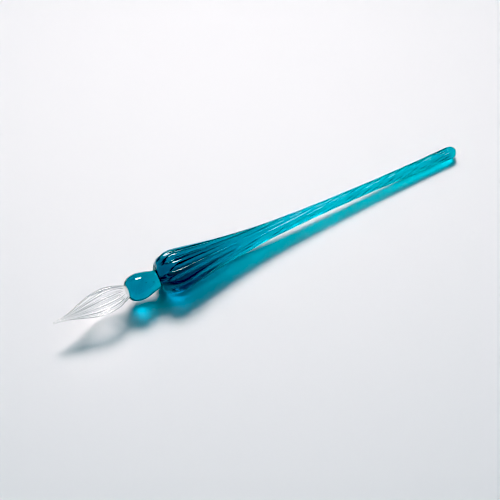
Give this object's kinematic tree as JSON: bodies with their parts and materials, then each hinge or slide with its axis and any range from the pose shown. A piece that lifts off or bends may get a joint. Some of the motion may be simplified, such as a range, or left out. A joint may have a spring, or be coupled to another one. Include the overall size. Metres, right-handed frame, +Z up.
{
  "type": "glass dip pen",
  "caption": "All-glass dip pen: clear grooved nib, smooth teal collar, and a ribbed teal bulb that tapers into a thin twisted shaft with a rounded tail.",
  "frame": {"origin": "centre of the pen's bounding box, on the plane that the bulb and the tail rest on", "axes": "+X along the pen towards its tail, +Z up; the pen lies on its side and the nib points to -X"},
  "size_m": [0.1648, 0.0152, 0.0152],
  "materials": {
    "clear_glass": "fire-polished, colourless",
    "teal_glass": "fire-polished, transparent teal"
  },
  "bodies": {
    "root": {"nib": "clear_glass", "collar": "teal_glass", "handle": "teal_glass"}
  },
  "joints": []
}
